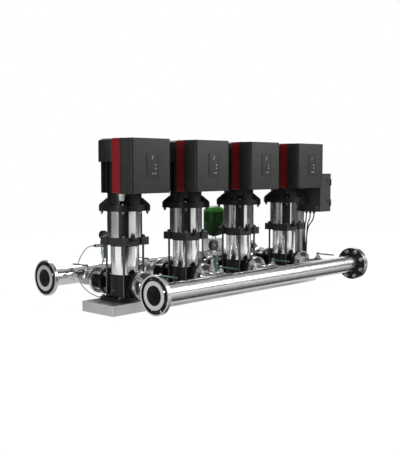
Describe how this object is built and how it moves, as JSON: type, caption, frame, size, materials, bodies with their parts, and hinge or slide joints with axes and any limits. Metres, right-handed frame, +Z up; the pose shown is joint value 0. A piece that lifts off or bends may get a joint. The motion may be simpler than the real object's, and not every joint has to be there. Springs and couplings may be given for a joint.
{
  "type": "booster pump set",
  "caption": "Booster set of vertical multistage pumps on a sheet frame between two flanged manifolds, with drives, diaphragm tank and control cabinet",
  "frame": {"origin": "On the floor under the middle of the pump row, at the underside of the base frame.", "axes": "+X runs along the pump row away from the open manifold ends towards the cabinet, -Y is the suction side where the drive panels face, +Z is up."},
  "size_m": [2.0908, 1.197, 1.0015],
  "materials": {
    "bright_fitting": "machined stainless fitting",
    "galvanised_sheet": "satin galvanised sheet",
    "stainless_flange": "turned stainless steel",
    "polished_pipe": "polished stainless tube",
    "dark_enamel": "dark grey enamel",
    "pale_plastic": "pale grey plastic",
    "zinc_plated_steel": "zinc plated steel",
    "black_cast_iron": "black coated cast iron",
    "panel_film": "dark grey panel film",
    "bright_sheet": "bright stainless sheet",
    "green_handle": "green coated handle",
    "red_enamel": "dark red enamel",
    "black_plastic": "matt black plastic",
    "graphite_plastic": "graphite grey plastic",
    "black_rubber": "black cable sheath",
    "green_enamel": "green enamel",
    "grey_rubber": "grey cable sheath"
  },
  "bodies": {
    "frame": {"ball_valves": "bright_fitting", "base_frame": "galvanised_sheet", "branch_flanges": "stainless_flange", "branch_stubs": "polished_pipe", "cabinet_body": "dark_enamel", "cabinet_fittings": "pale_plastic", "cabinet_hinges": "zinc_plated_steel", "cabinet_post": "galvanised_sheet", "cable_glands": "pale_plastic", "check_valves": "black_cast_iron", "closed_end_flanges": "stainless_flange", "control_panels": "panel_film", "coupling_guards": "bright_sheet", "discharge_manifold": "polished_pipe", "drive_housings": "red_enamel", "fan_covers": "black_plastic", "front_covers": "graphite_plastic", "gauge_stands": "bright_fitting", "manifold_flanges": "stainless_flange", "motors": "black_cast_iron", "outer_sleeves": "polished_pipe", "pipe_collars": "polished_pipe", "power_leads": "black_rubber", "pressure_gauges": "black_plastic", "pressure_senders": "bright_fitting", "pressure_tank": "green_enamel", "pump_bases": "black_cast_iron", "pump_heads": "black_cast_iron", "sender_plugs": "black_plastic", "sensor_lead": "grey_rubber", "staybolts": "zinc_plated_steel", "suction_manifold": "polished_pipe", "tank_stand": "bright_sheet"},
    "rotor_1": {"rotor_1": "zinc_plated_steel"},
    "rotor_2": {"rotor_2": "zinc_plated_steel"},
    "rotor_3": {"rotor_3": "zinc_plated_steel"},
    "rotor_4": {"rotor_4": "zinc_plated_steel"},
    "suction_lever_1": {"suction_lever_1": "green_handle"},
    "suction_lever_2": {"suction_lever_2": "green_handle"},
    "suction_lever_3": {"suction_lever_3": "green_handle"},
    "suction_lever_4": {"suction_lever_4": "green_handle"},
    "discharge_lever_1": {"discharge_lever_1": "green_handle"},
    "discharge_lever_2": {"discharge_lever_2": "green_handle"},
    "discharge_lever_3": {"discharge_lever_3": "green_handle"},
    "discharge_lever_4": {"discharge_lever_4": "green_handle"},
    "key_mat_1": {"key_mat_1": "pale_plastic"},
    "key_mat_2": {"key_mat_2": "pale_plastic"},
    "key_mat_3": {"key_mat_3": "pale_plastic"},
    "key_mat_4": {"key_mat_4": "pale_plastic"},
    "suction_stand_handle": {"suction_stand_handle": "green_handle"},
    "discharge_stand_handle": {"discharge_stand_handle": "green_handle"},
    "cabinet_door": {"cabinet_door": "dark_enamel"},
    "main_switch": {"main_switch": "black_plastic"}
  },
  "joints": [
    {"name": "rotor_1_spin", "type": "hinge", "parent": "frame", "child": "rotor_1", "pos_m": [-0.771, 0, 0.52], "axis": [0, 0, 1], "continuous": true},
    {"name": "rotor_2_spin", "type": "hinge", "parent": "frame", "child": "rotor_2", "pos_m": [-0.257, 0, 0.52], "axis": [0, 0, 1], "continuous": true},
    {"name": "rotor_3_spin", "type": "hinge", "parent": "frame", "child": "rotor_3", "pos_m": [0.257, 0, 0.52], "axis": [0, 0, 1], "continuous": true},
    {"name": "rotor_4_spin", "type": "hinge", "parent": "frame", "child": "rotor_4", "pos_m": [0.771, 0, 0.52], "axis": [0, 0, 1], "continuous": true},
    {"name": "suction_lever_1_turn", "type": "hinge", "parent": "frame", "child": "suction_lever_1", "pos_m": [-0.771, -0.298, 0.22], "axis": [0, 0, 1], "range_deg": [0, 90]},
    {"name": "suction_lever_2_turn", "type": "hinge", "parent": "frame", "child": "suction_lever_2", "pos_m": [-0.257, -0.298, 0.22], "axis": [0, 0, 1], "range_deg": [0, 90]},
    {"name": "suction_lever_3_turn", "type": "hinge", "parent": "frame", "child": "suction_lever_3", "pos_m": [0.257, -0.298, 0.22], "axis": [0, 0, 1], "range_deg": [0, 90]},
    {"name": "suction_lever_4_turn", "type": "hinge", "parent": "frame", "child": "suction_lever_4", "pos_m": [0.771, -0.298, 0.22], "axis": [0, 0, 1], "range_deg": [0, 90]},
    {"name": "discharge_lever_1_turn", "type": "hinge", "parent": "frame", "child": "discharge_lever_1", "pos_m": [-0.771, 0.359, 0.22], "axis": [0, 0, -1], "range_deg": [0, 90]},
    {"name": "discharge_lever_2_turn", "type": "hinge", "parent": "frame", "child": "discharge_lever_2", "pos_m": [-0.257, 0.359, 0.22], "axis": [0, 0, -1], "range_deg": [0, 90]},
    {"name": "discharge_lever_3_turn", "type": "hinge", "parent": "frame", "child": "discharge_lever_3", "pos_m": [0.257, 0.359, 0.22], "axis": [0, 0, -1], "range_deg": [0, 90]},
    {"name": "discharge_lever_4_turn", "type": "hinge", "parent": "frame", "child": "discharge_lever_4", "pos_m": [0.771, 0.359, 0.22], "axis": [0, 0, -1], "range_deg": [0, 90]},
    {"name": "key_mat_1_press", "type": "slide", "parent": "frame", "child": "key_mat_1", "axis": [0, 1, 0], "range_m": [0, 0.0008], "stiffness_N_per_m": 800},
    {"name": "key_mat_2_press", "type": "slide", "parent": "frame", "child": "key_mat_2", "axis": [0, 1, 0], "range_m": [0, 0.0008], "stiffness_N_per_m": 800},
    {"name": "key_mat_3_press", "type": "slide", "parent": "frame", "child": "key_mat_3", "axis": [0, 1, 0], "range_m": [0, 0.0008], "stiffness_N_per_m": 800},
    {"name": "key_mat_4_press", "type": "slide", "parent": "frame", "child": "key_mat_4", "axis": [0, 1, 0], "range_m": [0, 0.0008], "stiffness_N_per_m": 800},
    {"name": "suction_stand_handle_turn", "type": "hinge", "parent": "frame", "child": "suction_stand_handle", "pos_m": [-0.503, -0.478, 0.289], "axis": [0, 1, 0], "range_deg": [0, 90]},
    {"name": "discharge_stand_handle_turn", "type": "hinge", "parent": "frame", "child": "discharge_stand_handle", "pos_m": [-0.503, 0.499, 0.289], "axis": [0, 1, 0], "range_deg": [0, 90]},
    {"name": "cabinet_door_swing", "type": "hinge", "parent": "frame", "child": "cabinet_door", "pos_m": [1.0755, -0.1955, 0.649], "axis": [0, 0, -1], "range_deg": [0, 110]},
    {"name": "main_switch_turn", "type": "hinge", "parent": "cabinet_door", "child": "main_switch", "pos_m": [1.09, 0.11, 0.72], "axis": [1, 0, 0], "range_deg": [0, 90]}
  ]
}
